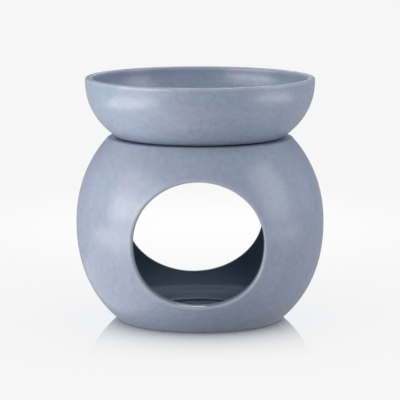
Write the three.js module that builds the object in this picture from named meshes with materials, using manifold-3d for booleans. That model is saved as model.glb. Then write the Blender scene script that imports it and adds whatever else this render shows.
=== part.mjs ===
// Two-piece ceramic wax melt burner: a round tealight chamber with a loose melting dish on top.
// Millimetres, +Z up. The turning axis is Z, the foot stands on Z = 0 and the front opening faces -Y.

import * as THREE from 'three';
import { mergeVertices } from 'three/addons/utils/BufferGeometryUtils.js';
import Module from 'manifold-3d';

const wasm = await Module();
wasm.setup();

// Chamber outside: two superellipse arcs that meet at the equator. A fullness of 2 is an ellipse.
const BODY_RADIUS = 56.5;
const EQUATOR_HEIGHT = 44.6;
const SHOULDER_RADIUS = 41.8;
const SHOULDER_HEIGHT = 83.8;
const UPPER_FULLNESS = 2.08;
const FOOT_RADIUS = 37.3;
const LOWER_FULLNESS = 2.19;
const SHOULDER_ROUND = 1.6;
const FOOT_ROUND = 3;

// Chamber inside
const BODY_WALL = 5;
const FLOOR_THICKNESS = 4.3;
const FLOOR_COVE = 1.5;
const CEILING_COVE = 3;
const MOUTH_RADIUS = 33.5;
const MOUTH_ROUND = 1;

// Place for the tealight, and the hollow inside the foot ring
const TEALIGHT_RADIUS = 19.5;
const TEALIGHT_CLEARANCE = 1.5;
const RECESS_DEPTH = 1;
const RECESS_ROUND = 0.4;
const FOOT_RING_WIDTH = 5;
const FOOT_HOLLOW_DEPTH = 0.8;

// Front and rear openings, elliptical and cut along Y, with a softened outer lip
const OPENING_HEIGHT = 57.4;
const OPENING_CENTRE_HEIGHT = 41;
const FRONT_OPENING_WIDTH = 59;
const REAR_OPENING_WIDTH = 67.4;
const LIP_ROUND = 1.8;

// Dish: its outside is one superellipse arc, its bowl another
const DISH_HEIGHT = 26.6;
const DISH_BASE_RADIUS = 38.4;
const DISH_FULLNESS = 2.185;
const RIM_RADIUS = 52.2;
const RIM_THICKNESS = 3.4;
const RIM_ROUND = 1.4;
const DISH_FLOOR = 4;
const BOWL_FULLNESS = 3;
const DISH_BASE_ROUND = 0.8;

// Seat of the dish: a ring under its floor drops into the mouth of the chamber
const SEAT_GAP = 0.3;
const RING_CLEARANCE = 1;
const RING_WIDTH = 3.5;
const RING_DEPTH = 3.5;
const RING_ROUND = 0.8;

// Facets round the axis, along an arc of a profile and along a softened edge
const SEGMENTS = 56;
const ARC_STEPS = 8;
const ROUND_STEPS = 3;

// How far a cutting tool runs past the face that it cuts
const OVERRUN = 8;

// Satin glaze
const BODY_COLOUR = 0x929cae;
const DISH_COLOUR = 0x959fb1;
const GLAZE_ROUGHNESS = 0.35;

const seatHeight = SHOULDER_HEIGHT + SEAT_GAP;
const rimHeight = seatHeight + DISH_HEIGHT;

// Radius at height z of a superellipse arc from its widest circle to its end circle.
function arcRadius(z, widest, end, fullness) {
  const share = Math.abs((z - widest.height) / (end.height - widest.height));
  const drop = 1 - (end.radius / widest.radius) ** fullness;
  return widest.radius * (1 - drop * share ** fullness) ** (1 / fullness);
}

function bodyRadius(z) {
  const equator = { radius: BODY_RADIUS, height: EQUATOR_HEIGHT };
  const shoulder = { radius: SHOULDER_RADIUS, height: SHOULDER_HEIGHT };
  const foot = { radius: FOOT_RADIUS, height: 0 };
  return z > EQUATOR_HEIGHT
    ? arcRadius(z, equator, shoulder, UPPER_FULLNESS)
    : arcRadius(z, equator, foot, LOWER_FULLNESS);
}

function dishRadius(z) {
  const rim = { radius: RIM_RADIUS, height: rimHeight - RIM_ROUND };
  const base = { radius: DISH_BASE_RADIUS, height: seatHeight };
  return z > rim.height ? RIM_RADIUS : arcRadius(z, rim, base, DISH_FULLNESS);
}

// Outward normal of the chamber's outer profile, as radius and height.
function bodyNormal(z) {
  const step = 0.01;
  const slope = (bodyRadius(z + step) - bodyRadius(z - step)) / (2 * step);
  return new THREE.Vector2(1, -slope).normalize();
}

// Radius of the chamber's inner face at height z, one wall inside the outer face.
function cavityRadius(z) {
  const passes = 30;
  let outerHeight = z;
  for (let pass = 0; pass < passes; pass += 1) {
    outerHeight = z + BODY_WALL * bodyNormal(outerHeight).y;
  }
  return bodyRadius(outerHeight) - BODY_WALL * bodyNormal(outerHeight).x;
}

// Points of a profile curve at even heights, both ends included.
function curvePoints(radiusAt, low, high, steps) {
  return Array.from({ length: steps + 1 }, (_, i) => {
    const z = THREE.MathUtils.lerp(low, high, i / steps);
    return new THREE.Vector2(radiusAt(z), z);
  });
}

function corner(radius, height, fillet = 0) {
  return Object.assign(new THREE.Vector2(radius, height), { fillet });
}

// Replaces each corner that has a radius with an arc tangent to both of its sides.
// Two arcs on one side leave each other room.
function soften(points) {
  const largestShare = 0.49;
  return points.flatMap((point, i) => {
    if (!point.fillet) return [point];
    const back = points[i - 1].clone().sub(point);
    const ahead = points[i + 1].clone().sub(point);
    const turn = Math.PI - Math.acos(back.dot(ahead) / (back.length() * ahead.length()));
    const room = largestShare * Math.min(back.length(), ahead.length());
    const reach = Math.min(point.fillet * Math.tan(turn / 2), room);
    const start = point.clone().add(back.setLength(reach));
    const finish = point.clone().add(ahead.setLength(reach));
    return new THREE.QuadraticBezierCurve(start, point, finish).getPoints(ROUND_STEPS);
  });
}

// Closed solid from a geometry: vertices are welded and collapsed triangles dropped.
function solid(geometry) {
  geometry.deleteAttribute('normal');
  geometry.deleteAttribute('uv');
  const weldDistance = 1e-4;
  const welded = mergeVertices(geometry, weldDistance);
  const index = welded.index.array;
  const triangles = [];
  for (let i = 0; i < index.length; i += 3) {
    const [a, b, c] = index.slice(i, i + 3);
    if (a !== b && b !== c && c !== a) triangles.push(a, b, c);
  }
  return new wasm.Manifold(new wasm.Mesh({
    numProp: 3,
    vertProperties: new Float32Array(welded.attributes.position.array),
    triVerts: new Uint32Array(triangles),
  }));
}

// Solid turned about Z from a profile that runs anticlockwise from the axis back to the axis.
function turned(points) {
  const geometry = new THREE.LatheGeometry(soften(points), SEGMENTS);
  geometry.rotateX(Math.PI / 2);
  return solid(geometry);
}

// Closed skin over a stack of rings with equally many points each.
function loft(rings) {
  const count = rings[0].length;
  const centres = [rings[0], rings.at(-1)].map((ring) => (
    ring.reduce((sum, point) => sum.add(point), new THREE.Vector3()).divideScalar(count)
  ));
  const vertices = [...rings.flat(), ...centres];
  const [firstCentre, lastCentre] = [vertices.length - 2, vertices.length - 1];
  const lastRing = (rings.length - 1) * count;
  const triangles = [];
  for (let i = 0; i < count; i += 1) {
    const next = (i + 1) % count;
    triangles.push(firstCentre, next, i, lastCentre, lastRing + i, lastRing + next);
    for (let base = 0; base < lastRing; base += count) {
      triangles.push(base + i, base + next, base + count + i);
      triangles.push(base + next, base + count + next, base + count + i);
    }
  }
  const geometry = new THREE.BufferGeometry().setFromPoints(vertices);
  geometry.setIndex(triangles);
  return solid(geometry);
}

// Tool that cuts one opening from outside to the axis. side is -1 for the front and 1 for the rear.
function openingTool(width, side) {
  const lipPoint = (angle, margin) => {
    const x = (width / 2 + margin) * Math.cos(angle);
    const z = OPENING_CENTRE_HEIGHT + (OPENING_HEIGHT / 2 + margin) * Math.sin(angle);
    return new THREE.Vector3(x, side * Math.sqrt(bodyRadius(z) ** 2 - x ** 2), z);
  };
  const lines = Array.from({ length: SEGMENTS }, (_, i) => {
    const angle = side * i / SEGMENTS * 2 * Math.PI;
    const edge = lipPoint(angle, 0);
    const onFace = lipPoint(angle, LIP_ROUND);
    const onWall = edge.clone().setY(edge.y - side * LIP_ROUND);
    const outside = onFace.clone().setY(side * (BODY_RADIUS + OVERRUN));
    const lip = new THREE.QuadraticBezierCurve3(onFace, edge, onWall).getPoints(ROUND_STEPS);
    return [outside, ...lip, edge.clone().setY(0)];
  });
  return loft(lines[0].map((_, ring) => lines.map((line) => line[ring])));
}

function burnerBody() {
  const lower = curvePoints(bodyRadius, 0, EQUATOR_HEIGHT, ARC_STEPS);
  const upper = curvePoints(bodyRadius, EQUATOR_HEIGHT, SHOULDER_HEIGHT, ARC_STEPS);
  const blank = turned([
    corner(0, 0),
    corner(FOOT_RADIUS, 0, FOOT_ROUND),
    ...lower.slice(1),
    ...upper.slice(1, -1),
    corner(SHOULDER_RADIUS, SHOULDER_HEIGHT, SHOULDER_ROUND),
    corner(0, SHOULDER_HEIGHT),
  ]);

  const ceiling = SHOULDER_HEIGHT - BODY_WALL;
  const inside = curvePoints(cavityRadius, FLOOR_THICKNESS, ceiling, 2 * ARC_STEPS);
  const cavity = turned([
    corner(0, FLOOR_THICKNESS),
    corner(inside[0].x, FLOOR_THICKNESS, FLOOR_COVE),
    ...inside.slice(1, -1),
    corner(inside.at(-1).x, ceiling, CEILING_COVE),
    corner(0, ceiling),
  ]);

  const mouth = turned([
    corner(0, ceiling - OVERRUN),
    corner(MOUTH_RADIUS, ceiling - OVERRUN),
    corner(MOUTH_RADIUS, SHOULDER_HEIGHT, MOUTH_ROUND),
    corner(MOUTH_RADIUS + OVERRUN, SHOULDER_HEIGHT),
    corner(MOUTH_RADIUS + OVERRUN, SHOULDER_HEIGHT + OVERRUN),
    corner(0, SHOULDER_HEIGHT + OVERRUN),
  ]);

  const recessRadius = TEALIGHT_RADIUS + TEALIGHT_CLEARANCE;
  const recess = turned([
    corner(0, FLOOR_THICKNESS - RECESS_DEPTH),
    corner(recessRadius, FLOOR_THICKNESS - RECESS_DEPTH, RECESS_ROUND),
    corner(recessRadius, FLOOR_THICKNESS, RECESS_ROUND),
    corner(recessRadius + OVERRUN, FLOOR_THICKNESS),
    corner(recessRadius + OVERRUN, FLOOR_THICKNESS + OVERRUN),
    corner(0, FLOOR_THICKNESS + OVERRUN),
  ]);

  const hollowRadius = FOOT_RADIUS - FOOT_RING_WIDTH;
  const footHollow = turned([
    corner(0, -OVERRUN),
    corner(hollowRadius, -OVERRUN),
    corner(hollowRadius, FOOT_HOLLOW_DEPTH, FOOT_HOLLOW_DEPTH),
    corner(0, FOOT_HOLLOW_DEPTH),
  ]);

  return blank
    .subtract(cavity)
    .subtract(mouth)
    .subtract(recess)
    .subtract(footHollow)
    .subtract(openingTool(FRONT_OPENING_WIDTH, -1))
    .subtract(openingTool(REAR_OPENING_WIDTH, 1));
}

function meltingDish() {
  const ringRadius = MOUTH_RADIUS - RING_CLEARANCE;
  const ringFoot = seatHeight - RING_DEPTH;
  const outside = curvePoints(dishRadius, seatHeight, rimHeight - RIM_ROUND, ARC_STEPS);
  const bowlRadius = RIM_RADIUS - RIM_THICKNESS;
  const bowlDepth = DISH_HEIGHT - DISH_FLOOR;
  const bowl = Array.from({ length: ARC_STEPS }, (_, i) => {
    const angle = (i + 1) / (ARC_STEPS + 1) * Math.PI / 2;
    const radius = bowlRadius * Math.cos(angle) ** (2 / BOWL_FULLNESS);
    const depth = bowlDepth * Math.sin(angle) ** (2 / BOWL_FULLNESS);
    return new THREE.Vector2(radius, rimHeight - depth);
  });
  return turned([
    corner(0, seatHeight),
    corner(ringRadius - RING_WIDTH, seatHeight, RING_ROUND),
    corner(ringRadius - RING_WIDTH, ringFoot, RING_ROUND),
    corner(ringRadius, ringFoot, RING_ROUND),
    corner(ringRadius, seatHeight),
    corner(DISH_BASE_RADIUS, seatHeight, DISH_BASE_ROUND),
    ...outside.slice(1),
    corner(RIM_RADIUS, rimHeight, RIM_ROUND),
    corner(bowlRadius, rimHeight, RIM_ROUND),
    ...bowl,
    corner(0, rimHeight - bowlDepth),
  ]);
}

// Mesh of a finished solid, in glazed stoneware.
function piece(name, shape, color) {
  const { vertProperties, triVerts } = shape.getMesh();
  const geometry = new THREE.BufferGeometry();
  geometry.setAttribute('position', new THREE.BufferAttribute(vertProperties, 3));
  geometry.setIndex(new THREE.BufferAttribute(triVerts, 1));
  geometry.computeVertexNormals();
  const mesh = new THREE.Mesh(geometry, new THREE.MeshStandardMaterial({
    color,
    roughness: GLAZE_ROUGHNESS,
    metalness: 0,
  }));
  mesh.name = name;
  return mesh;
}

const burner = new THREE.Group();
burner.add(piece('burner_body', burnerBody(), BODY_COLOUR));
burner.add(piece('melting_dish', meltingDish(), DISH_COLOUR));

export default burner;
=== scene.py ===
"""Wax melt burner: a round glazed chamber for a tealight, and the melting dish that rests on it."""

import math
from collections import namedtuple
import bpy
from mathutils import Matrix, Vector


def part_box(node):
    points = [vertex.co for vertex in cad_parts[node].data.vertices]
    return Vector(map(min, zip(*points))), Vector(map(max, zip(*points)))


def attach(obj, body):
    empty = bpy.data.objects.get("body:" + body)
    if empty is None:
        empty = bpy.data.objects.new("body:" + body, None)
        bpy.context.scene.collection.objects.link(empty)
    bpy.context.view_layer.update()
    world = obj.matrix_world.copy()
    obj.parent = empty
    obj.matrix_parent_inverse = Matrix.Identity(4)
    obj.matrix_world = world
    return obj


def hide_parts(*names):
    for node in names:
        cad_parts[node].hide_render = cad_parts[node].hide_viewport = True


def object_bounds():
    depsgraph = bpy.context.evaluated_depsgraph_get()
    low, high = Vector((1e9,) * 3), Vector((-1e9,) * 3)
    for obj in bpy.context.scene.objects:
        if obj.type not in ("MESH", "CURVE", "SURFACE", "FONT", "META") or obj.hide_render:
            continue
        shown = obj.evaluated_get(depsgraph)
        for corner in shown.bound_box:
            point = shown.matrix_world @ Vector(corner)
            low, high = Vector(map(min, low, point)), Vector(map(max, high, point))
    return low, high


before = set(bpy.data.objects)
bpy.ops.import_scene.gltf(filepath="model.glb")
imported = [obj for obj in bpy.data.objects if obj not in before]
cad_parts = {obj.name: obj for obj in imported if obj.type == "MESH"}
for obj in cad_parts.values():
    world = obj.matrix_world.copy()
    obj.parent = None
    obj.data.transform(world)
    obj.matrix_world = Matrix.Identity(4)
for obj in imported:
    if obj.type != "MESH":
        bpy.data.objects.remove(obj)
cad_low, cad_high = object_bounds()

from types import SimpleNamespace

import bmesh
import bpy
from bpy.props import FloatProperty, FloatVectorProperty, IntProperty, PointerProperty
from mathutils import Vector

bl_info = {
    "name": "Wax melt burner",
    "version": (1, 0, 0),
    "blender": (4, 5, 0),
    "location": "3D View > Sidebar > Wax burner",
    "description": "Makes a glazed two-piece wax melt burner and the stage that it is shown on",
    "category": "Object",
}

chamber_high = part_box("burner_body")[1]
dish_low, dish_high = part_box("melting_dish")

# Fineness of the meshes
COLUMNS = 240
OPENING_COLUMNS = 31
OPENING_ROWS = 44
ROUND_STEPS = 6
FACE_RINGS = 7
THROAT_STEPS = 4
SETTLING_ROUNDS = 30
TINY = 1e-6

# Steps along a stretch of the chamber's profile
WIDE_STEPS = 8
MIDDLE_STEPS = 6
NARROW_STEPS = 4
LOW_STEPS = 2

# Corners of the dish's profile under its wall and at its rim
CORNERS_BELOW = 6
CORNERS_AT_RIM = 2

# Openings, on either side along Y
FRONT = -1
REAR = 1
Opening = namedtuple("Opening", "side column width height centre shift flare fullness")

# Where the glaze is thin and takes a painted highlight, where painted shade darkens it inside the chamber,
# and where it is matt or has run level
GLAZE_LAYERS = ("thin", "inside", "matt", "level")
LIP_END_THIN_HIGHLIGHT = 0.4
BASE_THIN_HIGHLIGHT = 0.3
LEVEL_POWER = 16

# Pattern of the glaze. Fineness is per metre, and for grain and mottling a multiple of the clouds'
GRAIN_FINENESS = 14
GRAIN_SHARE = 0.35
CLOUD_EDGES = (0.36, 0.64)
MOTTLE_FINENESS = 7
MOTTLE_RANGE = (0.78, 1.22)
SPECK_SIZES = (0.4, 1.2)
SPECK_STRENGTHS = (0.4, 1.0)
SPECK_CORE = 0.4
RIPPLE_FINENESS = 90.0
PORE_FINENESS = 900.0
PORE_SHARE = 0.1
DRIFT_FINENESS = 40.0
DRIFT_RANGE = (0.85, 1.15)
FOOT_FINENESS = 120.0
FOOT_WANDER = 0.0001
FOOT_EDGE = 0.00005

# Strength of thin glaze with its painted highlight, specks, bare clay and unevenness
THIN_HIGHLIGHT_SHARE = 0.6
SPECK_SHARE = 0.75
FINE_SPECK_SHARE = 0.5
CLAY_ROUGHNESS = 0.85
BUMP_STRENGTH = 0.5

# Stage. Lengths are in metres, and the sensor's width is in millimetres
SENSOR_WIDTH = 36.0
FLOOR_HALF = 8.0
POLISH_HALF = 0.12
POLISH_HEIGHT = 0.00002
SHEEN_ROUGHNESS = 0.05
MIRROR_CUT = 0.03
BACK_RANGE = (0.3, 0.9)
WHITE = (1.0, 1.0, 1.0)

# Lamps with the settings of their light and tint, and angles in degrees, azimuth positive to the right
SoftBox = namedtuple("SoftBox", "name light tint azimuth elevation width height mirrored")
FloorPanel = namedtuple("FloorPanel", "name light tint azimuth near far width")
SOFT_BOX_DISTANCE = 0.8
PANEL_HEIGHT = 0.002
SOFT_BOXES = [
    SoftBox("left_soft_box", "left_light", "left_tint", -60, 8, 0.86, 0.28, True),
    SoftBox("upper_soft_box", "upper_light", "left_tint", -62, 28, 0.8, 0.28, True),
    SoftBox("right_soft_box", "right_light", "right_tint", 75, 22, 0.42, 0.62, True),
    SoftBox("back_soft_box", "back_light", "back_tint", 170, 60, 0.5, 0.4, False),
    SoftBox("glint_card", "glint", "back_tint", 177, 24, 0.13, 0.1, True),
]
FLOOR_PANELS = [
    FloorPanel("left_panel", "left_panel", "left_tint", -62, 0.045, 0.3, 0.2),
    FloorPanel("left_card", "left_card", "left_tint", -72, 0.2, 0.39, 0.3),
    FloorPanel("right_panel", "right_panel", "right_tint", 75, 0.3, 0.6, 0.34),
]


# Settings that a user would change

def setting(kind, **limits):
    """Maker of properties of one kind, each from a name, a description and a default."""

    def make(name, description, default):
        return kind(name=name, description=description, default=default, **limits)

    return make


length = setting(FloatProperty, min=0.0, precision=4, unit="LENGTH")
offset = setting(FloatProperty, precision=4, unit="LENGTH")
angle = setting(FloatProperty, subtype="ANGLE")
factor = setting(FloatProperty, min=0.0, max=1.0, subtype="FACTOR")
level = setting(FloatProperty, min=0.0, max=2.0, subtype="FACTOR")
light = setting(FloatProperty, min=0.0, max=20.0, subtype="FACTOR")
fullness = setting(FloatProperty, min=1.0, max=6.0)
optics = setting(FloatProperty, min=1.0)
count = setting(IntProperty, min=4)
colour = setting(FloatVectorProperty, size=3, min=0.0, max=1.0, subtype="COLOR")


class ChamberSizes(bpy.types.PropertyGroup):
    """Sizes of the tealight chamber"""

    radius: length("Radius", "Widest radius, at the equator", chamber_high.x)
    equator_height: length("Equator height", "Height of the widest circle", 0.0446)
    shoulder_radius: length("Shoulder radius", "Outer radius at the top", 0.0418)
    shoulder_height: length("Shoulder height", "Height of the top", 0.0835)
    upper_fullness: fullness("Upper fullness", "Squareness above the equator, 2 is an ellipse", 2.08)
    shoulder_round: length("Shoulder round", "Radius of the top outer edge", 0.0016)
    foot_radius: length("Foot radius", "Outer radius of the foot", 0.0373)
    lower_fullness: fullness("Lower fullness", "Squareness below the equator, 2 is an ellipse", 2.19)
    foot_round: length("Foot round", "Radius of the lower outer edge", 0.003)
    foot_ring: length("Foot ring", "Width of the ring that it stands on", 0.005)
    foot_hollow: length("Foot hollow", "Depth of the hollow inside the foot ring", 0.0008)
    wall: length("Wall", "Thickness of the wall", 0.005)
    floor: length("Floor", "Thickness of the floor", 0.0043)
    floor_cove: length("Floor cove", "Radius between the floor and the wall", 0.007)
    ceiling_cove: length("Ceiling cove", "Radius between the wall and the ceiling", 0.003)
    mouth_radius: length("Mouth radius", "Radius of the hole in the top", 0.0335)
    mouth_round: length("Mouth round", "Radius of the upper edge of the mouth", 0.001)
    recess_radius: length("Recess radius", "Radius of the place for the tealight", 0.021)
    recess_depth: length("Recess depth", "Depth of the place for the tealight", 0.001)
    edge_round: length("Edge round", "Radius of the small inner edges", 0.0004)
    front_width: length("Front width", "Width of the front opening", 0.0583)
    front_height: length("Front height", "Height of the front opening", 0.0557)
    front_centre: length("Front centre", "Height of its middle", 0.04165)
    front_shift: offset("Front shift", "How far it sits to the right", -0.0007)
    front_flare: length("Front flare", "How much it narrows inwards", 0.0004)
    front_fullness: fullness("Front fullness", "Squareness of its lower half, 2 is an ellipse", 2.25)
    rear_width: length("Rear width", "Width of the rear opening", 0.0674)
    rear_height: length("Rear height", "Height of the rear opening", 0.0574)
    rear_centre: length("Rear centre", "Height of its middle", 0.041)
    rear_shift: offset("Rear shift", "How far it sits to the right", -0.0026)
    rear_flare: length("Rear flare", "How much it narrows inwards", 0.0013)
    rear_fullness: fullness("Rear fullness", "Squareness of its lower half, 2 is an ellipse", 2.0)
    lip_round: length("Lip round", "Width of the softened outer lip", 0.0013)
    inner_lip_round: length("Inner lip round", "Width of the softened inner lip", 0.0007)
    # Painted shade of the inside glaze: none at the light height, full above the dark height, and the
    # floor share on the floor
    light_height: length("Light height", "Height at which the inside glaze is thinnest", 0.0068)
    dark_height: length("Dark height", "Height above which the inside glaze is darkest", 0.02)
    floor_dark: factor("Floor dark", "Darkness of the inside glaze on the floor", 0.85)
    face_low: length("Face foot", "Lowest row of the face that holds an opening", 0.006)
    face_high: length("Face top", "Highest row of the face that holds an opening", 0.078)
    inner_face_low: length("Inner face foot", "Lowest row of that face on the inside", 0.0072)
    inner_face_high: length("Inner face top", "Highest row of that face on the inside", 0.0735)


class DishSizes(bpy.types.PropertyGroup):
    """Sizes of the melting dish"""

    rim_radius: length("Rim radius", "Outer radius at the rim", dish_high.x)
    rim_height: length("Rim height", "Height of the rim above the table", dish_high.z)
    rim_thickness: length("Rim thickness", "Thickness of the wall at the rim", 0.0034)
    rim_round: length("Rim round", "Radius of both edges of the rim", 0.0009)
    seat_height: length("Seat height", "Height of the underside", 0.0841)
    base_radius: length("Base radius", "Outer radius at the underside", 0.0384)
    base_round: length("Base round", "Radius of the lower outer edge", 0.0004)
    wall_fullness: fullness("Wall fullness", "Squareness of the outside, 2 is an ellipse", 2.185)
    floor: length("Floor", "Thickness under the bowl", 0.004)
    bowl_fullness: fullness("Bowl fullness", "Squareness of the bowl, 2 is an ellipse", 2.7)
    ring_radius: length("Ring radius", "Outer radius of the locating ring", 0.0325)
    ring_width: length("Ring width", "Width of the locating ring", 0.0035)
    ring_foot: length("Ring foot", "Height of its lower end", dish_low.z)
    ring_round: length("Ring round", "Radius of its edges", 0.0008)
    facets: count("Facets", "Facets round the axis", 256)
    arc_steps: count("Arc steps", "Steps along each curve", 40)


class GlazeFinish(bpy.types.PropertyGroup):
    """Colours and surface of the glaze, and the clay under it"""

    chamber_colour: colour("Chamber", "Blue grey of the chamber", (0.263, 0.322, 0.430))
    dish_colour: colour("Dish", "Blue grey of the dish", (0.249, 0.318, 0.420))
    lavender_colour: colour("Lavender", "Cloudy patches in the glaze", (0.279, 0.310, 0.424))
    # Thin glaze: a lighter colour on edges, partly thin glaze and partly a painted highlight
    thin_colour: colour("Thin glaze", "Glaze drawn thin over an edge", (0.38, 0.42, 0.50))
    # Inside: painted shade, a dark colour that stands for the shade inside the chamber
    inside_colour: colour("Inside", "Darker glaze inside the chamber", (0.030, 0.074, 0.122))
    speck_colour: colour("Specks", "Iron specks in the glaze", (0.07, 0.075, 0.10))
    clay_colour: colour("Bare clay", "Clay where the piece stood in the kiln", (0.55, 0.50, 0.44))
    cloud_size: length("Cloud size", "Width of the cloudy patches", 0.022)
    speck_size: length("Speck size", "Radius of the larger specks", 0.0004)
    speck_spacing: length("Speck spacing", "Spacing of the larger specks", 0.0036)
    fine_speck_size: length("Fine speck size", "Radius of the fine specks", 0.00024)
    fine_speck_spacing: length("Fine speck spacing", "Spacing of the fine specks", 0.0012)
    roughness: factor("Roughness", "Roughness of the satin glaze", 0.26)
    inside_roughness: factor("Inside roughness", "Roughness inside the chamber", 0.6)
    level_roughness: factor("Level roughness", "Roughness where the glaze has run level", 0.09)
    refraction: optics("Refraction", "Refractive index of the glaze", 1.6)
    ripple: length("Ripple", "Height of its soft unevenness", 0.00003)


class StageSettings(bpy.types.PropertyGroup):
    """Camera, lamps, floor and surroundings"""

    camera_distance: length("Camera distance", "Distance of the camera from the axis", 1.06808)
    camera_height: length("Camera height", "Height of the camera above the floor", 0.21588)
    camera_tilt: angle("Camera tilt", "How far the camera looks down", math.radians(8.61))
    lens: optics("Lens", "Focal length in mm", 212.59)
    white: factor("White", "Level of the pale floor in the picture", 0.922)
    white_in_glaze: factor("White in glaze", "Level of the floor where the glaze mirrors it", 0.47)
    polish: factor("Polish", "Share of the lamps that the floor throws back into the glaze", 0.25)
    glow: factor("Glow", "Level of the floor seen through the openings", 0.99)
    glow_distance: length("Glow distance", "How far behind the axis the glow lies", 0.26)
    glow_radius: length("Glow radius", "Radius of the glow", 0.2)
    floor_paint: factor("Floor paint", "Share of the light that the floor gives back", 0.8)
    floor_lit: level("Floor lit", "Level of the painted floor where nothing shades it", 0.88)
    shadow_share: factor("Shadow share", "Share of the floor that takes shadow", 0.1)
    shadow_reach: length("Shadow reach", "Radius beyond which the floor takes no shadow", 0.14)
    mirror_share: factor("Mirror share", "Strength of the reflection at the foot", 0.98)
    mirror_reach: length("Mirror reach", "Distance over which the reflection fades to a third", 0.0172)
    mirror_tint: colour("Mirror tint", "Cool tint of the reflection in the floor", (0.945, 0.96, 1.0))
    fill: level("Fill", "Level of the surroundings that lights the object", 0.34)
    gloss_fill: level("Gloss fill", "Level of the surroundings seen in the glaze", 1.34)
    gloss_back: level("Gloss back", "Level behind the object seen in the glaze", 0.34)
    gloss_tint: colour("Gloss tint", "Cool tint of what the glaze mirrors", (0.78, 0.88, 1.0))
    left_tint: colour("Left tint", "Warm tint of the lamps on the left", (1.0, 0.97, 0.915))
    right_tint: colour("Right tint", "Cool tint of the lamps on the right", (0.965, 0.975, 1.0))
    back_tint: colour("Back tint", "Tint of the lamps behind", WHITE)
    left_light: light("Left light", "Brightness of the low left soft box", 4.45)
    upper_light: light("Upper light", "Brightness of the soft box over the left one", 1.74)
    right_light: light("Right light", "Brightness of the right soft box", 2.08)
    back_light: light("Back light", "Brightness of the high soft box behind the object", 4.1)
    left_panel: light("Left panel", "Brightness of the panel on the floor to the left", 0.40)
    left_card: light("Left card", "Brightness of the card beyond the left panel", 3.05)
    right_panel: light("Right panel", "Brightness of the panel on the floor to the right", 2.75)
    glint: light("Glint", "Brightness of the small card behind the rear opening", 4.5)


# Nodes

def title(name):
    """Name of the socket that holds a value."""
    return name.replace("_", " ").title()


def feed(socket, value):
    """Links a term, a node's first output or a socket to a socket, or sets a plain value on it."""
    if isinstance(value, Term):
        value = value.socket
    elif isinstance(value, bpy.types.Node):
        value = value.outputs[0]
    if isinstance(value, bpy.types.NodeSocket):
        socket.id_data.links.new(value, socket)
    else:
        socket.default_value = value


def add(tree, kind, inputs=None, **options):
    """Adds a node, sets its options and feeds its inputs, which are named or numbered."""
    node = tree.nodes.new(kind)
    for name, value in options.items():
        setattr(node, name, value)
    for key, value in (inputs or {}).items():
        feed(node.inputs[key], value)
    return node


def math_node(operation, turned=False):
    """Method that adds a Math node, with the two sides turned round or not."""

    def method(self, *others):
        values = [self, *others]
        inputs = dict(enumerate(reversed(values) if turned else values))
        return Term(add(self.tree, "ShaderNodeMath", inputs, operation=operation).outputs[0])

    return method


class Term:
    """A number in a node tree. Arithmetic on it adds nodes to the tree."""

    def __init__(self, socket):
        self.tree = socket.id_data
        self.socket = socket

    __add__ = math_node("ADD")
    __sub__ = math_node("SUBTRACT")
    __rsub__ = math_node("SUBTRACT", turned=True)
    __mul__ = math_node("MULTIPLY")
    __truediv__ = math_node("DIVIDE")
    __rtruediv__ = math_node("DIVIDE", turned=True)
    __pow__ = math_node("POWER")
    least = math_node("MINIMUM")
    most = math_node("MAXIMUM")
    cosine = math_node("COSINE")
    sine = math_node("SINE")
    whole = math_node("ROUND")
    exponential = math_node("EXPONENT")

    def between(self, low, high):
        return self.most(low).least(high)

    def spread(self, low, high):
        """Low where this is 0, high where it is 1."""
        return self * (high - low) + low

    def ramp(self, low, high):
        """Smooth rise from 0 at low to 1 at high, which may lie either way round."""
        inputs = {"Value": self, "From Min": low, "From Max": high}
        node = add(self.tree, "ShaderNodeMapRange", inputs, interpolation_type="SMOOTHSTEP")
        return Term(node.outputs["Result"])


def node_group(name, inputs, outputs, kind="ShaderNodeTree"):
    """Empty node group with named sockets. Gives the tree, its input terms and its output node."""
    tree = bpy.data.node_groups.new(name, kind)
    for way, sockets in (("INPUT", inputs), ("OUTPUT", outputs)):
        for socket, socket_type in sockets.items():
            tree.interface.new_socket(title(socket), in_out=way, socket_type="NodeSocket" + socket_type)
    inlet = add(tree, "NodeGroupInput")
    given = SimpleNamespace(**{socket: Term(inlet.outputs[title(socket)]) for socket in inputs})
    return tree, given, add(tree, "NodeGroupOutput")


def cleared_tree(owner):
    owner.use_nodes = True
    owner.node_tree.nodes.clear()
    return owner.node_tree


def empty_material(name):
    """Material without a surface. Gives it, its tree and the place on the object."""
    material = bpy.data.materials.new(name)
    tree = cleared_tree(material)
    return material, tree, add(tree, "ShaderNodeTexCoord").outputs["Object"]


def mix_colour(tree, share, first, second):
    """Mix of two colours, which are inputs 6 and 7 and output 2 of a Mix node."""
    node = add(tree, "ShaderNodeMix", {0: share, 6: first, 7: second}, data_type="RGBA")
    return node.outputs[2]


def mix_shader(tree, share, first, second):
    return add(tree, "ShaderNodeMixShader", {0: share, 1: first, 2: second})


def noise(place, scale, detail, roughness=0.5):
    inputs = {"Vector": place, "Scale": scale, "Detail": detail, "Roughness": roughness}
    return Term(add(place.tree, "ShaderNodeTexNoise", inputs).outputs["Fac"])


# Glaze

def cloud_group():
    """Slow cloudy change from one colour to another, and a finer mottling from light to dark."""
    inputs = {"vector": "Vector", "size": "Float", "colour": "Color", "cloud_colour": "Color"}
    tree, given, outlet = node_group("Glaze clouds", inputs, {"colour": "Color"})
    scale = 1 / given.size
    broad = noise(given.vector, scale, detail=2.0)
    grain = noise(given.vector, scale * GRAIN_FINENESS, detail=3.0)
    mottle = noise(given.vector, scale * MOTTLE_FINENESS, detail=3.0, roughness=0.75)
    cloud = broad * (1 - GRAIN_SHARE) + grain * GRAIN_SHARE
    mixed = mix_colour(tree, cloud.ramp(*CLOUD_EDGES), given.colour, given.cloud_colour)
    mottled = {"Value": mottle.spread(*MOTTLE_RANGE), "Color": mixed}
    feed(outlet.inputs["Colour"], add(tree, "ShaderNodeHueSaturation", mottled))
    return tree


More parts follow.
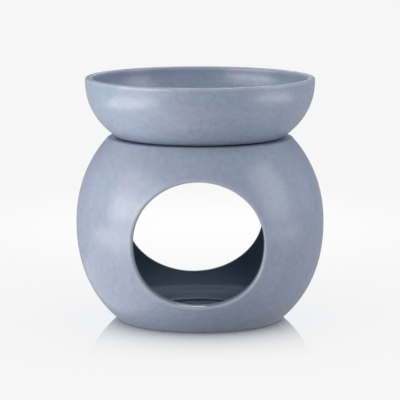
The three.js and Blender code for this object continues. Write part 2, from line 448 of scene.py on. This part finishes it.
def speck_group():
    """Mask of round specks of uneven size and strength."""
    inputs = {"vector": "Vector", "spacing": "Float", "size": "Float"}
    tree, given, outlet = node_group("Iron specks", inputs, {"mask": "Float"})
    cells = add(tree, "ShaderNodeTexVoronoi", {"Vector": given.vector, "Scale": 1 / given.spacing})
    chance = add(tree, "ShaderNodeSeparateColor", {"Color": cells.outputs["Color"]})
    distance = Term(cells.outputs["Distance"]) * given.spacing
    size = given.size * Term(chance.outputs["Red"]).spread(*SPECK_SIZES)
    strength = Term(chance.outputs["Green"]).spread(*SPECK_STRENGTHS)
    feed(outlet.inputs["Mask"], distance.ramp(size, size * SPECK_CORE) * strength)
    return tree


def skin_group():
    """Soft unevenness of a fired glaze: its height, and how its roughness drifts."""
    inputs = {"vector": "Vector", "roughness": "Float"}
    tree, given, outlet = node_group("Glaze skin", inputs, {"height": "Float", "roughness": "Float"})
    ripple = noise(given.vector, RIPPLE_FINENESS, detail=1.0)
    pores = noise(given.vector, PORE_FINENESS, detail=2.0)
    drift = noise(given.vector, DRIFT_FINENESS, detail=3.0)
    feed(outlet.inputs["Height"], ripple * (1 - PORE_SHARE) + pores * PORE_SHARE)
    feed(outlet.inputs["Roughness"], given.roughness * drift.spread(*DRIFT_RANGE))
    return tree


def bare_foot_group():
    """Mask of the lowest face, which is wiped free of glaze so that it does not stick in the kiln."""
    inputs = {"vector": "Vector", "foot_height": "Float"}
    tree, given, outlet = node_group("Bare foot", inputs, {"mask": "Float"})
    place = add(tree, "ShaderNodeSeparateXYZ", {"Vector": given.vector})
    above = Term(place.outputs["Z"]) - given.foot_height
    edge = noise(given.vector, FOOT_FINENESS, detail=2.0) * FOOT_WANDER
    feed(outlet.inputs["Mask"], (above - edge).ramp(FOOT_EDGE, 0.0))
    return tree


def glaze_material(name, finish, body_colour, foot_height):
    """Satin speckled glaze over pale clay."""
    material, tree, place = empty_material(name)

    def group(group_name, make, **inputs):
        """A group, made the first time that it is asked for."""
        sockets = {title(key): value for key, value in inputs.items()}
        group_tree = bpy.data.node_groups.get(group_name) or make()
        return add(tree, "ShaderNodeGroup", {"Vector": place, **sockets}, node_tree=group_tree)

    def specks(spacing, size):
        return Term(group("Iron specks", speck_group, spacing=spacing, size=size).outputs["Mask"])

    def layer(layer_name):
        return Term(add(tree, "ShaderNodeAttribute", attribute_name=layer_name).outputs["Fac"])

    def cover(below, share, plain):
        return mix_colour(tree, share, below, (*plain, 1.0))

    clouds = group(
        "Glaze clouds",
        cloud_group,
        size=finish.cloud_size,
        colour=(*body_colour, 1.0),
        cloud_colour=(*finish.lavender_colour, 1.0),
    )
    large = specks(finish.speck_spacing, finish.speck_size) * SPECK_SHARE
    fine = specks(finish.fine_speck_spacing, finish.fine_speck_size) * FINE_SPECK_SHARE
    skin = group("Glaze skin", skin_group, roughness=finish.roughness)
    bare = Term(group("Bare foot", bare_foot_group, foot_height=foot_height).outputs["Mask"])

    # Painted shade darkens the inside of the chamber, and the thin glaze colour on edges is partly a
    # painted highlight
    colour_now = cover(clouds, layer("inside"), finish.inside_colour)
    colour_now = cover(colour_now, layer("thin") * THIN_HIGHLIGHT_SHARE, finish.thin_colour)
    colour_now = cover(colour_now, large.most(fine), finish.speck_colour)
    colour_now = cover(colour_now, bare, finish.clay_colour)
    roughness = layer("matt").spread(Term(skin.outputs["Roughness"]), finish.inside_roughness)
    roughness = layer("level").spread(roughness, finish.level_roughness)
    roughness = roughness.most(bare * CLAY_ROUGHNESS)
    bump = add(
        tree,
        "ShaderNodeBump",
        {"Height": skin.outputs["Height"], "Strength": BUMP_STRENGTH, "Distance": finish.ripple},
    )
    shader = add(
        tree,
        "ShaderNodeBsdfPrincipled",
        {"Base Color": colour_now, "Roughness": roughness, "IOR": finish.refraction, "Normal": bump},
    )
    add(tree, "ShaderNodeOutputMaterial", {"Surface": shader})
    return material


# Profiles

def arc_radius(height, widest, end, squareness):
    """Radius at a height of a superellipse arc between two circles, each given as (radius, height)."""
    share = abs((height - widest[1]) / (end[1] - widest[1]))
    drop = 1 - (end[0] / widest[0]) ** squareness
    return widest[0] * (1 - drop * share ** squareness) ** (1 / squareness)


def outside_radius(sizes, height):
    equator = (sizes.radius, sizes.equator_height)
    if height > sizes.equator_height:
        shoulder = (sizes.shoulder_radius, sizes.shoulder_height)
        return arc_radius(height, equator, shoulder, sizes.upper_fullness)
    return arc_radius(height, equator, (sizes.foot_radius, 0.0), sizes.lower_fullness)


def outside_normal(sizes, height):
    """Outward normal of the outer wall, as radius and height."""
    step = 1e-5
    rise = outside_radius(sizes, height + step) - outside_radius(sizes, height - step)
    return Vector((1.0, -rise / (2 * step))).normalized()


def inside_radius(sizes, height):
    """Radius of the inner wall, one wall thickness inside the outer one."""
    outer_height = height
    for _ in range(SETTLING_ROUNDS):
        outer_height = height + sizes.wall * outside_normal(sizes, outer_height).y
    return outside_radius(sizes, outer_height) - sizes.wall * outside_normal(sizes, outer_height).x


def flat_points(start, finish, steps):
    return [Vector(start).lerp(Vector(finish), i / steps) for i in range(steps + 1)]


def round_off(start, corner, finish):
    """Points of the arc that rounds a corner, both ends included."""
    weight = math.sin((start - corner).angle(finish - corner) / 2)
    points = []
    for i in range(ROUND_STEPS + 1):
        t = i / ROUND_STEPS
        shares = ((1 - t) ** 2, 2 * weight * t * (1 - t), t ** 2)
        points.append((start * shares[0] + corner * shares[1] + finish * shares[2]) / sum(shares))
    return points


def cut_back(points, reach):
    """The line with that length taken off its end."""
    points = list(points)
    while (points[-2] - points[-1]).length < reach:
        reach -= (points[-2] - points[-1]).length
        points.pop()
    points[-1] = points[-1] + (points[-2] - points[-1]).normalized() * reach
    return points


def softened(*strokes):
    """One line through strokes, each given with the radius of the corner at its end."""
    line = list(strokes[0][0])
    for (_, radius), (stroke, _) in zip(strokes, strokes[1:]):
        corner = line[-1]
        ahead = stroke[1] - corner
        reach = radius / math.tan((line[-2] - corner).angle(ahead) / 2)
        line = cut_back(line, reach)
        stroke = cut_back(stroke[::-1], reach)[::-1]
        line += round_off(line[-1], corner, stroke[0])[1:] + stroke[1:]
    return line


def chamber_rows(sizes):
    """Profile of the chamber, from the middle of its underside round the wall to that of its floor.

    Also gives the numbers of the rows, from low to high, that hold an opening outside and inside.
    """
    hollow = sizes.foot_radius - sizes.foot_ring
    top = sizes.shoulder_height
    ceiling = top - sizes.wall
    mouth = sizes.mouth_radius
    recess = sizes.recess_radius
    recess_floor = sizes.floor - sizes.recess_depth
    edge = sizes.edge_round

    def wall(radius_at, start, finish, steps):
        """Points of a wall at even heights, both ends included."""
        heights = [start + (finish - start) * i / steps for i in range(steps + 1)]
        return [Vector((radius_at(sizes, z), z)) for z in heights]

    outer_face = wall(outside_radius, sizes.face_low, sizes.face_high, OPENING_ROWS)
    ceiling_wall = wall(inside_radius, ceiling, sizes.inner_face_high, WIDE_STEPS)
    inner_face = wall(inside_radius, sizes.inner_face_high, sizes.inner_face_low, OPENING_ROWS)
    floor_wall = wall(inside_radius, sizes.inner_face_low, sizes.floor, MIDDLE_STEPS)
    below = softened(
        (flat_points((0, sizes.foot_hollow), (hollow, sizes.foot_hollow), WIDE_STEPS), edge),
        (flat_points((hollow, sizes.foot_hollow), (hollow, 0), LOW_STEPS), edge),
        (flat_points((hollow, 0), (sizes.foot_radius, 0), NARROW_STEPS), sizes.foot_round),
        (wall(outside_radius, 0, sizes.face_low, MIDDLE_STEPS), 0),
    )
    between = softened(
        (wall(outside_radius, sizes.face_high, top, MIDDLE_STEPS), sizes.shoulder_round),
        (flat_points((sizes.shoulder_radius, top), (mouth, top), MIDDLE_STEPS), sizes.mouth_round),
        (flat_points((mouth, top), (mouth, ceiling), NARROW_STEPS), edge),
        (flat_points((mouth, ceiling), ceiling_wall[0], NARROW_STEPS), sizes.ceiling_cove),
        (ceiling_wall, 0),
    )
    above = softened(
        (floor_wall, sizes.floor_cove),
        (flat_points(floor_wall[-1], (recess, sizes.floor), MIDDLE_STEPS), edge),
        (flat_points((recess, sizes.floor), (recess, recess_floor), LOW_STEPS), edge),
        (flat_points((recess, recess_floor), (0, recess_floor), WIDE_STEPS), 0),
    )
    profile = below[:-1] + outer_face + between[1:-1] + inner_face + above[1:]
    outer_start = len(below) - 1
    inner_start = outer_start + len(outer_face) + len(between) - 2
    outer_rows = [outer_start + i for i in range(OPENING_ROWS + 1)]
    inner_rows = [inner_start + i for i in range(OPENING_ROWS, -1, -1)]
    return profile, outer_rows, inner_rows


# Chamber

def turn_profile(mesh, profile):
    """Vertices of each row of a turned profile: a ring, or a single one on the axis."""
    turns = [2 * math.pi * i / COLUMNS for i in range(COLUMNS)]
    rows = []
    for radius, height in profile:
        ring = turns if radius > TINY else [0.0]
        rows.append([mesh.verts.new((radius * math.cos(t), radius * math.sin(t), height)) for t in ring])
    return rows


def close_rows(mesh, lower, upper, columns):
    """Faces between two rows of a turned profile, pointing out."""
    for i in columns:
        after = (i + 1) % COLUMNS
        if len(lower) == 1:
            mesh.faces.new((lower[0], upper[after], upper[i]))
        elif len(upper) == 1:
            mesh.faces.new((lower[i], lower[after], upper[0]))
        else:
            mesh.faces.new((lower[i], lower[after], upper[after], upper[i]))


def clamp(value):
    return min(max(value, 0.0), 1.0)


def inside_shade(sizes, height):
    """Share of painted shade on the inside glaze at a height: full on the recess floor, none at the light
    height over the cove, rising to full at the dark height, and to the floor share on the floor.
    """
    recess_floor = sizes.floor - sizes.recess_depth
    if height < sizes.floor - sizes.edge_round:
        return float(height < recess_floor + TINY)
    rise = (height - sizes.light_height) / (sizes.dark_height - sizes.light_height)
    pool = (sizes.light_height - height) / (sizes.light_height - sizes.floor)
    return max(clamp(rise), clamp(pool) * sizes.floor_dark)


def recess_edge_highlight(sizes, point):
    """Painted highlight, in the colour of thin glaze, on the edge of the recess for the tealight: 1 on the
    edge, else 0.
    """
    on_edge = abs(point.xy.length - sizes.recess_radius) < sizes.edge_round + TINY
    return float(on_edge and sizes.floor - sizes.edge_round < point.z <= sizes.floor + TINY)


def edge_of_face(rows, numbers, first, last):
    """Vertices round the gap that is left for an opening, anticlockwise seen from outside."""
    bottom = [rows[numbers[0]][i] for i in range(first, last)]
    right = [rows[n][last] for n in numbers[:-1]]
    top = [rows[numbers[-1]][i] for i in range(last, first, -1)]
    left = [rows[n][first] for n in reversed(numbers[1:])]
    return bottom + right + top + left


def opening_line(sizes, opening, outer, inner):
    """Points from the edge of the outer face, over the lip and through the wall, to the inner face.

    Each point comes with its shares of thin glaze with its painted highlight, painted inside shade, matt
    glaze and level glaze.
    """
    side = opening.side
    half_width = opening.width / 2
    half_height = opening.height / 2
    middle = Vector((-side * opening.shift, opening.centre))
    outer_flat = Vector((-side * outer.x, outer.z))
    inner_flat = Vector((-side * inner.x, inner.z))
    away = outer_flat - middle
    turn = math.atan2(away.y / half_height, away.x / half_width)
    power = 2 / opening.fullness if away.y < 0 else 1.0
    across = math.copysign(abs(math.cos(turn)) ** power, away.x)
    upright = math.copysign(abs(math.sin(turn)) ** power, away.y)

    def oval(margin):
        return middle + Vector(((half_width + margin) * across, (half_height + margin) * upright))

    def on_wall(radius_at, flat):
        depth = math.sqrt(radius_at(sizes, flat.y) ** 2 - flat.x ** 2)
        return Vector((-side * flat.x, side * depth, flat.y))

    lip = sizes.lip_round
    inner_lip = sizes.inner_lip_round
    outer_start = oval(lip)
    inner_end = oval(inner_lip - opening.flare)
    outer_edge = on_wall(outside_radius, oval(0))
    inner_edge = on_wall(inside_radius, oval(-opening.flare))
    inward = (inner_edge - outer_edge).normalized()
    shares = [i / FACE_RINGS for i in range(1, FACE_RINGS)]

    outer_face = [on_wall(outside_radius, outer_flat.lerp(outer_start, t)) for t in shares]
    outer_round = round_off(on_wall(outside_radius, outer_start), outer_edge, outer_edge + inward * lip)
    inner_start = inner_edge - inward * inner_lip
    inner_round = round_off(inner_start, inner_edge, on_wall(inside_radius, inner_end))
    throat = [outer_round[-1].lerp(inner_round[0], i / THROAT_STEPS) for i in range(1, THROAT_STEPS)]
    inner_face = [on_wall(inside_radius, inner_end.lerp(inner_flat, t)) for t in shares]
    points = outer_face + outer_round + throat + inner_round + inner_face

    first = len(outer_face)
    last = first + len(outer_round) - 1
    inner_first = last + len(throat) + 1
    depth = inside_shade(sizes, inner_end.y)
    level_share = max(0.0, -upright) ** LEVEL_POWER
    lip_ends = {first: LIP_END_THIN_HIGHLIGHT, last: LIP_END_THIN_HIGHLIGHT}
    numbers = range(len(points))
    # Lip edges take the thin glaze colour, partly as a painted highlight
    thin = [lip_ends.get(i, float(first < i < last)) for i in numbers]
    # The throat darkens towards the inside with painted shade
    inside = [clamp((i - last) / THROAT_STEPS) * depth for i in numbers]
    matt = [clamp((i - inner_first) / ROUND_STEPS) for i in numbers]
    level = [level_share * (last <= i <= inner_first + ROUND_STEPS) for i in numbers]
    return list(zip(points, thin, inside, matt, level))


def fill_opening(mesh, layers, sizes, opening, outer_loop, inner_loop):
    """Faces from the gap in the outer wall through the opening to the gap in the inner wall."""
    lines = []
    for outer, inner in zip(outer_loop, inner_loop):
        line = [outer]
        for point, *shares in opening_line(sizes, opening, outer.co, inner.co):
            vertex = mesh.verts.new(point)
            for layer, share in zip(layers, shares):
                vertex[layer] = share
            line.append(vertex)
        lines.append([*line, inner])
    for line, after in zip(lines, lines[1:] + lines[:1]):
        for k in range(len(line) - 1):
            mesh.faces.new((line[k], after[k], after[k + 1], line[k + 1]))


def chamber_mesh(sizes):
    """Closed mesh of the chamber, with a front and a rear opening cut along Y."""
    mesh = bmesh.new()
    for name in GLAZE_LAYERS:
        mesh.verts.layers.float.new(name)
    layers = [mesh.verts.layers.float[name] for name in GLAZE_LAYERS]
    thin, inside, matt, _ = layers
    profile, outer_rows, inner_rows = chamber_rows(sizes)
    rows = turn_profile(mesh, profile)
    above_face = range(outer_rows[-1], len(rows))
    mouth = next(i for i in above_face if profile[i].x < sizes.mouth_radius + TINY)
    # Past the mouth, painted shade darkens the inside by height, and the recess edge takes a painted
    # highlight
    for row in rows[mouth + 1:]:
        for vertex in row:
            vertex[thin] = recess_edge_highlight(sizes, vertex.co)
            vertex[inside] = inside_shade(sizes, vertex.co.z)
            vertex[matt] = 1.0
    openings = []
    for side, name, column in ((FRONT, "front", COLUMNS * 3 // 4), (REAR, "rear", COLUMNS // 4)):
        measures = [getattr(sizes, f"{name}_{field}") for field in Opening._fields[2:]]
        openings.append(Opening(side, column, *measures))
    cut = set()
    for opening in openings:
        cut.update(range(opening.column - OPENING_COLUMNS, opening.column + OPENING_COLUMNS))
    uncut = [i for i in range(COLUMNS) if i not in cut]
    holed = set(outer_rows[:-1]) | set(inner_rows[1:])
    for number in range(len(rows) - 1):
        columns = uncut if number in holed else range(COLUMNS)
        close_rows(mesh, rows[number], rows[number + 1], columns)
    for opening in openings:
        first = opening.column - OPENING_COLUMNS
        last = opening.column + OPENING_COLUMNS
        outer_loop = edge_of_face(rows, outer_rows, first, last)
        inner_loop = edge_of_face(rows, inner_rows, first, last)
        fill_opening(mesh, layers, sizes, opening, outer_loop, inner_loop)
    hidden = [v for row in rows for v in row if not v.link_faces]
    bmesh.ops.delete(mesh, geom=hidden, context="VERTS")
    finished = bpy.data.meshes.new("tealight_chamber")
    mesh.to_mesh(finished)
    mesh.free()
    return finished


# Dish

def dish_tree():
    """Geometry nodes that turn the dish: corners and two arcs, rounded, then swept round the axis."""
    kinds = {"facets": "Int", "arc_steps": "Int", "glaze": "Material"}
    inputs = {name: kinds.get(name, "Float") for name in (*DishSizes.__annotations__, "glaze")}
    tree, size, outlet = node_group("Turned dish", inputs, {"mesh": "Geometry"}, "GeometryNodeTree")
    steps = size.arc_steps
    index = Term(add(tree, "GeometryNodeInputIndex").outputs[0])
    base_end = CORNERS_BELOW - 1
    rim_end = steps + (base_end + CORNERS_AT_RIM)
    middle = rim_end + steps + 1
    seat = size.seat_height
    rim = size.rim_height

    # Outside of the dish, from its base up to its widest circle
    squareness = size.wall_fullness
    widest = rim - size.rim_round
    below = 1 - (index - base_end) / steps
    drop = 1 - (size.base_radius / size.rim_radius) ** squareness
    wall_radius = size.rim_radius * (1 - drop * below ** squareness) ** (1 / squareness)
    wall_height = widest - below * (widest - seat)

    # Bowl, from the rim down to its middle
    bowl_radius = size.rim_radius - size.rim_thickness
    bowl_floor = seat + size.floor
    bowl_depth = rim - bowl_floor
    turn = (index - rim_end) / (steps + 1) * (math.pi / 2)
    power = 2 / size.bowl_fullness
    hollow_radius = bowl_radius * turn.cosine() ** power
    hollow_height = rim - bowl_depth * turn.sine() ** power

    # Stretches of the profile in order: radius, height, radius of the rounded corner, thin glaze with its
    # painted highlight
    ring_inside = size.ring_radius - size.ring_width
    stretches = [
        (0.0, seat, 0.0, 0.0),
        (ring_inside, seat, size.ring_round, 0.0),
        (ring_inside, size.ring_foot, size.ring_round, 0.0),
        (size.ring_radius, size.ring_foot, size.ring_round, 0.0),
        (size.ring_radius, seat, size.ring_round, 0.0),
        (size.base_radius, seat, size.base_round, BASE_THIN_HIGHLIGHT),
        (wall_radius, wall_height, 0.0, 0.0),
        (size.rim_radius, rim, size.rim_round, 1.0),
        (bowl_radius, rim, size.rim_round, 1.0),
        (hollow_radius, hollow_height, 0.0, 0.0),
        (0.0, bowl_floor, 0.0, 0.0),
    ]
    stretch = (
        index.least(CORNERS_BELOW)
        + (index - base_end - steps).between(0, CORNERS_AT_RIM + 1)
        + (index - middle + 1).between(0, 1)
    )

    def pick(column):
        switch = add(tree, "GeometryNodeIndexSwitch", data_type="FLOAT")
        for _ in range(len(stretches) - len(switch.index_switch_items)):
            switch.index_switch_items.new()
        for socket, value in zip(switch.inputs, [stretch, *[values[column] for values in stretches]]):
            feed(socket, value)
        return switch

    def keep_thin_highlight(geometry, value):
        inputs_used = {"Geometry": geometry, "Name": "thin", "Value": value}
        return add(tree, "GeometryNodeStoreNamedAttribute", inputs_used, data_type="FLOAT")

    radii, heights, rounds, thin_highlights = [pick(column) for column in range(len(stretches[0]))]
    spot = add(tree, "ShaderNodeCombineXYZ", {"X": radii, "Z": heights})
    line = add(tree, "GeometryNodeCurvePrimitiveLine")
    line = add(tree, "GeometryNodeResampleCurve", {"Curve": line, "Count": middle + 1})
    line = add(tree, "GeometryNodeSetPosition", {"Geometry": line, "Position": spot})
    line = keep_thin_highlight(line, thin_highlights)
    rounding = {"Curve": line, "Count": ROUND_STEPS, "Radius": rounds, "Limit Radius": True}
    line = add(tree, "GeometryNodeFilletCurve", rounding, mode="POLY")

    # The profile is laid over a grid and swept round the axis
    domain = add(tree, "GeometryNodeAttributeDomainSize", {0: line}, component="CURVE")
    points = Term(domain.outputs["Point Count"])
    side = 1.0
    grid = add(
        tree,
        "GeometryNodeMeshGrid",
        {"Size X": side, "Size Y": side, "Vertices X": points, "Vertices Y": size.facets + 1},
    )
    position = add(tree, "GeometryNodeInputPosition")
    on_grid = add(tree, "ShaderNodeSeparateXYZ", {"Vector": position})
    number = ((Term(on_grid.outputs["X"]) + side / 2) * (points - 1)).whole()
    sweep = (Term(on_grid.outputs["Y"]) + side / 2) * (2 * math.pi)

    def sample(kind, value):
        inputs_used = {"Geometry": line, "Value": value, "Index": number}
        return add(tree, "GeometryNodeSampleIndex", inputs_used, data_type=kind)

    profile = add(tree, "ShaderNodeSeparateXYZ", {"Vector": sample("FLOAT_VECTOR", position)})
    radius = Term(profile.outputs["X"])
    swept = add(
        tree,
        "ShaderNodeCombineXYZ",
        {"X": radius * sweep.cosine(), "Y": radius * sweep.sine(), "Z": profile.outputs["Z"]},
    )
    stored = add(tree, "GeometryNodeInputNamedAttribute", {"Name": "thin"}, data_type="FLOAT")
    ware = keep_thin_highlight(grid, sample("FLOAT", stored))
    ware = add(tree, "GeometryNodeSetPosition", {"Geometry": ware, "Position": swept})
    ware = add(tree, "GeometryNodeMergeByDistance", {"Geometry": ware, "Distance": TINY})
    ware = add(tree, "GeometryNodeRealizeInstances", {"Geometry": ware})
    ware = add(tree, "GeometryNodeSetMaterial", {"Geometry": ware, "Material": size.glaze})
    feed(outlet.inputs["Mesh"], ware)
    return tree


def dish_mesh(sizes, glaze):
    """Plain mesh of the dish, from its geometry nodes."""
    tree = dish_tree()
    maker = put_in_scene("dish_maker", bpy.data.meshes.new("dish_maker"))
    modifier = maker.modifiers.new("Turned dish", "NODES")
    modifier.node_group = tree
    for socket in tree.interface.items_tree:
        if socket.in_out == "INPUT":
            name = socket.name.lower().replace(" ", "_")
            modifier[socket.identifier] = glaze if name == "glaze" else getattr(sizes, name)
    evaluated = maker.evaluated_get(bpy.context.evaluated_depsgraph_get())
    finished = bpy.data.meshes.new_from_object(evaluated)
    finished.name = "melt_dish"
    bpy.data.objects.remove(maker)
    return finished


# Pieces

def put_in_scene(name, data):
    thing = bpy.data.objects.new(name, data)
    bpy.context.scene.collection.objects.link(thing)
    return thing


def finish_piece(mesh, body, node):
    """Puts a mesh in the scene as a piece that stands for a CAD node, after testing that it is sound."""
    check = bmesh.new()
    check.from_mesh(mesh)
    closed = all(len(edge.link_faces) == 2 for edge in check.edges)
    if check.calc_volume(signed=True) < 0:
        bmesh.ops.reverse_faces(check, faces=check.faces)
    for face in check.faces:
        face.smooth = True
    check.to_mesh(mesh)
    check.free()
    if not closed:
        raise RuntimeError(f"{mesh.name} is not a closed shape")
    piece = put_in_scene(mesh.name, mesh)
    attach(piece, body)
    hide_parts(node)


class MakeChamber(bpy.types.Operator):
    """Makes the tealight chamber with its two openings"""

    bl_idname = "burner.make_chamber"
    bl_label = "Tealight chamber"

    def execute(self, context):
        finish = context.scene.burner_glaze
        glaze = glaze_material("chamber_glaze", finish, finish.chamber_colour, foot_height=0.0)
        mesh = chamber_mesh(context.scene.burner_chamber)
        mesh.materials.append(glaze)
        finish_piece(mesh, "chamber", "burner_body")
        return {"FINISHED"}


class MakeDish(bpy.types.Operator):
    """Makes the melting dish with its locating ring"""

    bl_idname = "burner.make_dish"
    bl_label = "Melting dish"

    def execute(self, context):
        finish = context.scene.burner_glaze
        sizes = context.scene.burner_dish
        glaze = glaze_material("dish_glaze", finish, finish.dish_colour, foot_height=sizes.ring_foot)
        finish_piece(dish_mesh(sizes, glaze), "dish", "melting_dish")
        return {"FINISHED"}


# Stage

def stage_material(name):
    """Empty material of the stage: its tree, the ray that meets it and the distance from a point."""
    material, tree, place = empty_material(name)
    material.cycles.emission_sampling = "NONE"

    def distance(point):
        node = add(tree, "ShaderNodeVectorMath", {0: place, 1: point}, operation="DISTANCE")
        return Term(node.outputs["Value"])

    return material, tree, add(tree, "ShaderNodeLightPath").outputs, distance


def floor_material(stage, foot_radius):
    """Pale floor that is white in the picture and in the glaze, and takes the shadow."""
    material, tree, ray, distance = stage_material("pale_floor")
    shadow = distance((0, 0, 0)).ramp(stage.shadow_reach, foot_radius) * stage.shadow_share
    behind = distance((0, stage.glow_distance, 0)).ramp(stage.glow_radius, 0.0)
    level = (behind.spread(stage.white, stage.glow) - shadow * stage.floor_lit) / (1 - shadow)
    white = add(tree, "ShaderNodeEmission", {"Strength": level})
    paint = add(tree, "ShaderNodeBsdfDiffuse", {"Color": (*[stage.floor_paint] * 3, 1.0)})
    shown = mix_shader(tree, shadow, white, paint)
    dim_white = add(tree, "ShaderNodeEmission", {"Strength": stage.white_in_glaze})
    sheen_colour = (*stage.mirror_tint, 1.0)
    sheen = add(tree, "ShaderNodeBsdfGlossy", {"Color": sheen_colour, "Roughness": SHEEN_ROUGHNESS})
    in_glaze = mix_shader(tree, stage.polish, dim_white, sheen)
    shiny = Term(ray["Is Glossy Ray"]).most(ray["Is Transmission Ray"])
    surface = mix_shader(tree, shiny, paint, in_glaze)
    surface = mix_shader(tree, ray["Is Camera Ray"], surface, shown)
    add(tree, "ShaderNodeOutputMaterial", {"Surface": surface})
    return material


def polish_material(stage, foot_radius):
    """Clear polish on the floor that mirrors the foot in the picture, less and less away from it."""
    material, tree, ray, distance = stage_material("floor_polish")
    fade = ((foot_radius - distance((0, 0, 0))) / stage.mirror_reach).exponential()
    share = (fade * (1 + MIRROR_CUT) - MIRROR_CUT).between(0, 1) * stage.mirror_share
    clear = add(tree, "ShaderNodeBsdfTransparent")
    mirror_colour = (*stage.mirror_tint, 1.0)
    mirror = add(tree, "ShaderNodeBsdfGlossy", {"Color": mirror_colour, "Roughness": 0.0})
    surface = mix_shader(tree, share * ray["Is Camera Ray"], clear, mirror)
    add(tree, "ShaderNodeOutputMaterial", {"Surface": surface})
    return material


def level_sheet(name, half, height, material):
    """Square sheet of the stage round the axis."""
    corners = [(x * half, y * half, height) for x, y in ((-1, -1), (1, -1), (1, 1), (-1, 1))]
    mesh = bpy.data.meshes.new(name)
    mesh.from_pydata(corners, [], [(0, 1, 2, 3)])
    mesh.materials.append(material)
    sheet = put_in_scene(name, mesh)
    return sheet


def make_floor(stage, foot_radius):
    """Floor and its polish, which the lamps leave unlit so that it mirrors none. Gives what is unlit."""
    level_sheet("studio_floor", FLOOR_HALF, 0.0, floor_material(stage, foot_radius))
    clear = polish_material(stage, foot_radius)
    polish = level_sheet("floor_polish", POLISH_HALF, POLISH_HEIGHT, clear)
    unlit = bpy.data.collections.new("unlit")
    unlit.objects.link(polish)
    unlit.collection_objects[0].light_linking.link_state = "EXCLUDE"
    return unlit


def make_surroundings(stage):
    """Studio, white in the picture, dimmer where it lights the object, and dark behind in the glaze."""
    world = bpy.data.worlds.new("studio")
    tree = cleared_tree(world)
    ray = add(tree, "ShaderNodeLightPath").outputs
    gloss = Term(ray["Is Glossy Ray"])
    seen = Term(ray["Is Camera Ray"]).most(ray["Is Singular Ray"])
    place = add(tree, "ShaderNodeTexCoord").outputs["Generated"]
    way = add(tree, "ShaderNodeSeparateXYZ", {"Vector": place})
    behind = Term(way.outputs["Y"]).ramp(*BACK_RANGE)
    level = gloss.spread(stage.fill, behind.spread(stage.gloss_fill, stage.gloss_back))
    level = seen.spread(level, stage.white)
    tint = mix_colour(tree, gloss * (1 - seen), (*WHITE, 1.0), (*stage.gloss_tint, 1.0))
    background = add(tree, "ShaderNodeBackground", {"Color": tint, "Strength": level})
    add(tree, "ShaderNodeOutputWorld", {"Surface": background})
    bpy.context.scene.world = world


def outward(azimuth, elevation):
    """Direction from the object, with the azimuth in degrees from the front, positive to the right."""
    turn = math.radians(azimuth)
    rise = math.radians(elevation)
    return Vector((math.sin(turn) * math.cos(rise), -math.cos(turn) * math.cos(rise), math.sin(rise)))


def lamp(stage, unlit, plan, place, height):
    """Flat lamp whose face is as bright as its setting, where 1 is white. It leaves what is unlit dark."""
    data = bpy.data.lights.new(plan.name, "AREA")
    data.color = getattr(stage, plan.tint)
    data.shape = "RECTANGLE"
    data.size = plan.width
    data.size_y = height
    data.energy = getattr(stage, plan.light) * math.pi * plan.width * height
    made = put_in_scene(plan.name, data)
    made.location = place
    made.visible_camera = False
    made.light_linking.receiver_collection = unlit
    return made


def make_lamps(stage, unlit):
    """Soft boxes that face the object, and lit panels that lie on the floor."""
    for box in SOFT_BOXES:
        direction = outward(box.azimuth, box.elevation)
        place = (cad_low + cad_high) / 2 + direction * SOFT_BOX_DISTANCE
        made = lamp(stage, unlit, box, place, box.height)
        made.rotation_euler = (-direction).to_track_quat("-Z", "Y").to_euler()
        made.visible_glossy = box.mirrored
    for panel in FLOOR_PANELS:
        place = outward(panel.azimuth, 0) * (panel.near + panel.far) / 2
        place.z = PANEL_HEIGHT
        made = lamp(stage, unlit, panel, place, panel.far - panel.near)
        made.rotation_euler = (math.pi, 0.0, math.radians(panel.azimuth))


def make_camera(stage):
    data = bpy.data.cameras.new("camera")
    data.lens = stage.lens
    data.sensor_width = SENSOR_WIDTH
    camera = put_in_scene("camera", data)
    camera.location = (0.0, -stage.camera_distance, stage.camera_height)
    camera.rotation_euler = (math.pi / 2 - stage.camera_tilt, 0.0, 0.0)
    bpy.context.scene.camera = camera


class MakeStage(bpy.types.Operator):
    """Makes the camera, the soft boxes, the pale floor and the surroundings"""

    bl_idname = "burner.make_stage"
    bl_label = "Stage"

    def execute(self, context):
        stage = context.scene.burner_stage
        make_camera(stage)
        unlit = make_floor(stage, context.scene.burner_chamber.foot_radius)
        make_surroundings(stage)
        make_lamps(stage, unlit)
        context.scene.view_settings.view_transform = "Standard"
        return {"FINISHED"}


class BurnerPanel(bpy.types.Panel):
    """Lists the pieces of the burner and their settings"""

    bl_idname = "VIEW3D_PT_wax_burner"
    bl_label = "Wax melt burner"
    bl_space_type = "VIEW_3D"
    bl_region_type = "UI"
    bl_category = "Wax burner"

    def draw(self, context):
        for settings, (_, maker) in SETTINGS.items():
            box = self.layout.box()
            if maker:
                box.operator(maker.bl_idname)
            group = getattr(context.scene, settings)
            for name in group.bl_rna.properties.keys():
                if name not in ("rna_type", "name"):
                    box.prop(group, name)


SETTINGS = {
    "burner_glaze": (GlazeFinish, None),
    "burner_chamber": (ChamberSizes, MakeChamber),
    "burner_dish": (DishSizes, MakeDish),
    "burner_stage": (StageSettings, MakeStage),
}
CLASSES = [cls for pair in SETTINGS.values() for cls in pair if cls] + [BurnerPanel]


def register():
    for cls in CLASSES:
        bpy.utils.register_class(cls)
    for name, (group, _) in SETTINGS.items():
        setattr(bpy.types.Scene, name, PointerProperty(type=group))


def unregister():
    for name in SETTINGS:
        delattr(bpy.types.Scene, name)
    for cls in reversed(CLASSES):
        bpy.utils.unregister_class(cls)


def main():
    register()
    bpy.ops.burner.make_chamber()
    bpy.ops.burner.make_dish()
    bpy.ops.burner.make_stage()


if __name__ == "__main__":
    main()
